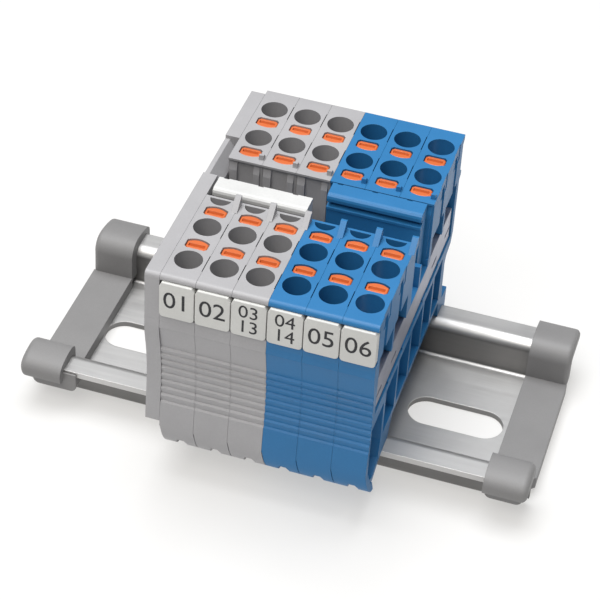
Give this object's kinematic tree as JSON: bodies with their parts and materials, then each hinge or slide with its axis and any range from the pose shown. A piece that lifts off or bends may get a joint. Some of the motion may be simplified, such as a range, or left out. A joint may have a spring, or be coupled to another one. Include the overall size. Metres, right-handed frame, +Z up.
{
  "type": "din rail terminal block assembly",
  "caption": "Push-in terminal blocks on a perforated top-hat rail, with marker tags, orange release buttons, plug-in bridges, an end cover and rail end caps.",
  "frame": {"origin": "centre of the rail's slot pattern, on the rail's underside plane", "axes": "+X along the rail from the gray blocks to the blue blocks, -Y towards the marker tags, +Z up, out of the mounting plate"},
  "size_m": [0.0788, 0.0473, 0.0409],
  "materials": {
    "rail_steel": "zinc-plated, passivated, fine brushed along its length",
    "cap_plastic": "moulded, matt",
    "gray_plastic": "moulded polyamide, satin",
    "blue_plastic": "moulded polyamide, satin",
    "orange_plastic": "moulded, satin gloss",
    "white_plastic": "moulded, satin gloss",
    "tag_plastic": "moulded, matt, printable",
    "tinned_copper": "tin-plated copper strip",
    "spring_steel": "bright spring steel",
    "copper": "bare copper"
  },
  "bodies": {
    "rail": {"rail": "rail_steel"},
    "end_cap_left": {"rail_end_cap_left": "cap_plastic"},
    "end_cap_right": {"rail_end_cap_right": "cap_plastic"},
    "gray_group": {"stack_end_cover": "gray_plastic", "housing_gray_1": "gray_plastic", "marker_tag_gray_1": "tag_plastic", "current_bar_gray_1": "tinned_copper", "clamp_springs_gray_1": "spring_steel", "housing_gray_2": "gray_plastic", "marker_tag_gray_2": "tag_plastic", "current_bar_gray_2": "tinned_copper", "clamp_springs_gray_2": "spring_steel", "housing_gray_3": "gray_plastic", "marker_tag_gray_3": "tag_plastic", "current_bar_gray_3": "tinned_copper", "clamp_springs_gray_3": "spring_steel"},
    "blue_group": {"housing_blue_1": "blue_plastic", "marker_tag_blue_1": "tag_plastic", "current_bar_blue_1": "tinned_copper", "clamp_springs_blue_1": "spring_steel", "housing_blue_2": "blue_plastic", "marker_tag_blue_2": "tag_plastic", "current_bar_blue_2": "tinned_copper", "clamp_springs_blue_2": "spring_steel", "housing_blue_3": "blue_plastic", "marker_tag_blue_3": "tag_plastic", "current_bar_blue_3": "tinned_copper", "clamp_springs_blue_3": "spring_steel"},
    "button_gray_1_front_outer": {"button_gray_1_front_outer": "orange_plastic"},
    "button_gray_1_front_inner": {"button_gray_1_front_inner": "orange_plastic"},
    "button_gray_1_rear_inner": {"button_gray_1_rear_inner": "orange_plastic"},
    "button_gray_1_rear_outer": {"button_gray_1_rear_outer": "orange_plastic"},
    "button_gray_2_front_outer": {"button_gray_2_front_outer": "orange_plastic"},
    "button_gray_2_front_inner": {"button_gray_2_front_inner": "orange_plastic"},
    "button_gray_2_rear_inner": {"button_gray_2_rear_inner": "orange_plastic"},
    "button_gray_2_rear_outer": {"button_gray_2_rear_outer": "orange_plastic"},
    "button_gray_3_front_outer": {"button_gray_3_front_outer": "orange_plastic"},
    "button_gray_3_front_inner": {"button_gray_3_front_inner": "orange_plastic"},
    "button_gray_3_rear_inner": {"button_gray_3_rear_inner": "orange_plastic"},
    "button_gray_3_rear_outer": {"button_gray_3_rear_outer": "orange_plastic"},
    "button_blue_1_front_outer": {"button_blue_1_front_outer": "orange_plastic"},
    "button_blue_1_front_inner": {"button_blue_1_front_inner": "orange_plastic"},
    "button_blue_1_rear_inner": {"button_blue_1_rear_inner": "orange_plastic"},
    "button_blue_1_rear_outer": {"button_blue_1_rear_outer": "orange_plastic"},
    "button_blue_2_front_outer": {"button_blue_2_front_outer": "orange_plastic"},
    "button_blue_2_front_inner": {"button_blue_2_front_inner": "orange_plastic"},
    "button_blue_2_rear_inner": {"button_blue_2_rear_inner": "orange_plastic"},
    "button_blue_2_rear_outer": {"button_blue_2_rear_outer": "orange_plastic"},
    "button_blue_3_front_outer": {"button_blue_3_front_outer": "orange_plastic"},
    "button_blue_3_front_inner": {"button_blue_3_front_inner": "orange_plastic"},
    "button_blue_3_rear_inner": {"button_blue_3_rear_inner": "orange_plastic"},
    "button_blue_3_rear_outer": {"button_blue_3_rear_outer": "orange_plastic"},
    "bridge_gray": {"bridge_head_gray": "white_plastic", "bridge_comb_gray": "copper"},
    "bridge_blue": {"bridge_head_blue": "blue_plastic", "bridge_comb_blue": "copper"}
  },
  "joints": [
    {"name": "gray_group_slide", "type": "slide", "parent": "rail", "child": "gray_group", "axis": [1, 0, 0], "range_m": [-0.014, 0]},
    {"name": "blue_group_slide", "type": "slide", "parent": "rail", "child": "blue_group", "axis": [1, 0, 0], "range_m": [0, 0.014]},
    {"name": "left_cap_pull", "type": "slide", "parent": "rail", "child": "end_cap_left", "axis": [-1, 0, 0], "range_m": [0, 0.008]},
    {"name": "right_cap_pull", "type": "slide", "parent": "rail", "child": "end_cap_right", "axis": [1, 0, 0], "range_m": [0, 0.008]},
    {"name": "bridge_gray_pull", "type": "slide", "parent": "gray_group", "child": "bridge_gray", "axis": [0, 0, 1], "range_m": [0, 0.018]},
    {"name": "bridge_blue_pull", "type": "slide", "parent": "blue_group", "child": "bridge_blue", "axis": [0, 0, 1], "range_m": [0, 0.018]},
    {"name": "button_gray_1_front_outer_press", "type": "slide", "parent": "gray_group", "child": "button_gray_1_front_outer", "axis": [0, 0, -1], "range_m": [0, 0.0014], "stiffness_N_per_m": 200},
    {"name": "button_gray_1_front_inner_press", "type": "slide", "parent": "gray_group", "child": "button_gray_1_front_inner", "axis": [0, 0, -1], "range_m": [0, 0.0014], "stiffness_N_per_m": 200},
    {"name": "button_gray_1_rear_inner_press", "type": "slide", "parent": "gray_group", "child": "button_gray_1_rear_inner", "axis": [0, 0, -1], "range_m": [0, 0.0014], "stiffness_N_per_m": 200},
    {"name": "button_gray_1_rear_outer_press", "type": "slide", "parent": "gray_group", "child": "button_gray_1_rear_outer", "axis": [0, 0, -1], "range_m": [0, 0.0014], "stiffness_N_per_m": 200},
    {"name": "button_gray_2_front_outer_press", "type": "slide", "parent": "gray_group", "child": "button_gray_2_front_outer", "axis": [0, 0, -1], "range_m": [0, 0.0014], "stiffness_N_per_m": 200},
    {"name": "button_gray_2_front_inner_press", "type": "slide", "parent": "gray_group", "child": "button_gray_2_front_inner", "axis": [0, 0, -1], "range_m": [0, 0.0014], "stiffness_N_per_m": 200},
    {"name": "button_gray_2_rear_inner_press", "type": "slide", "parent": "gray_group", "child": "button_gray_2_rear_inner", "axis": [0, 0, -1], "range_m": [0, 0.0014], "stiffness_N_per_m": 200},
    {"name": "button_gray_2_rear_outer_press", "type": "slide", "parent": "gray_group", "child": "button_gray_2_rear_outer", "axis": [0, 0, -1], "range_m": [0, 0.0014], "stiffness_N_per_m": 200},
    {"name": "button_gray_3_front_outer_press", "type": "slide", "parent": "gray_group", "child": "button_gray_3_front_outer", "axis": [0, 0, -1], "range_m": [0, 0.0014], "stiffness_N_per_m": 200},
    {"name": "button_gray_3_front_inner_press", "type": "slide", "parent": "gray_group", "child": "button_gray_3_front_inner", "axis": [0, 0, -1], "range_m": [0, 0.0014], "stiffness_N_per_m": 200},
    {"name": "button_gray_3_rear_inner_press", "type": "slide", "parent": "gray_group", "child": "button_gray_3_rear_inner", "axis": [0, 0, -1], "range_m": [0, 0.0014], "stiffness_N_per_m": 200},
    {"name": "button_gray_3_rear_outer_press", "type": "slide", "parent": "gray_group", "child": "button_gray_3_rear_outer", "axis": [0, 0, -1], "range_m": [0, 0.0014], "stiffness_N_per_m": 200},
    {"name": "button_blue_1_front_outer_press", "type": "slide", "parent": "blue_group", "child": "button_blue_1_front_outer", "axis": [0, 0, -1], "range_m": [0, 0.0014], "stiffness_N_per_m": 200},
    {"name": "button_blue_1_front_inner_press", "type": "slide", "parent": "blue_group", "child": "button_blue_1_front_inner", "axis": [0, 0, -1], "range_m": [0, 0.0014], "stiffness_N_per_m": 200},
    {"name": "button_blue_1_rear_inner_press", "type": "slide", "parent": "blue_group", "child": "button_blue_1_rear_inner", "axis": [0, 0, -1], "range_m": [0, 0.0014], "stiffness_N_per_m": 200},
    {"name": "button_blue_1_rear_outer_press", "type": "slide", "parent": "blue_group", "child": "button_blue_1_rear_outer", "axis": [0, 0, -1], "range_m": [0, 0.0014], "stiffness_N_per_m": 200},
    {"name": "button_blue_2_front_outer_press", "type": "slide", "parent": "blue_group", "child": "button_blue_2_front_outer", "axis": [0, 0, -1], "range_m": [0, 0.0014], "stiffness_N_per_m": 200},
    {"name": "button_blue_2_front_inner_press", "type": "slide", "parent": "blue_group", "child": "button_blue_2_front_inner", "axis": [0, 0, -1], "range_m": [0, 0.0014], "stiffness_N_per_m": 200},
    {"name": "button_blue_2_rear_inner_press", "type": "slide", "parent": "blue_group", "child": "button_blue_2_rear_inner", "axis": [0, 0, -1], "range_m": [0, 0.0014], "stiffness_N_per_m": 200},
    {"name": "button_blue_2_rear_outer_press", "type": "slide", "parent": "blue_group", "child": "button_blue_2_rear_outer", "axis": [0, 0, -1], "range_m": [0, 0.0014], "stiffness_N_per_m": 200},
    {"name": "button_blue_3_front_outer_press", "type": "slide", "parent": "blue_group", "child": "button_blue_3_front_outer", "axis": [0, 0, -1], "range_m": [0, 0.0014], "stiffness_N_per_m": 200},
    {"name": "button_blue_3_front_inner_press", "type": "slide", "parent": "blue_group", "child": "button_blue_3_front_inner", "axis": [0, 0, -1], "range_m": [0, 0.0014], "stiffness_N_per_m": 200},
    {"name": "button_blue_3_rear_inner_press", "type": "slide", "parent": "blue_group", "child": "button_blue_3_rear_inner", "axis": [0, 0, -1], "range_m": [0, 0.0014], "stiffness_N_per_m": 200},
    {"name": "button_blue_3_rear_outer_press", "type": "slide", "parent": "blue_group", "child": "button_blue_3_rear_outer", "axis": [0, 0, -1], "range_m": [0, 0.0014], "stiffness_N_per_m": 200}
  ]
}
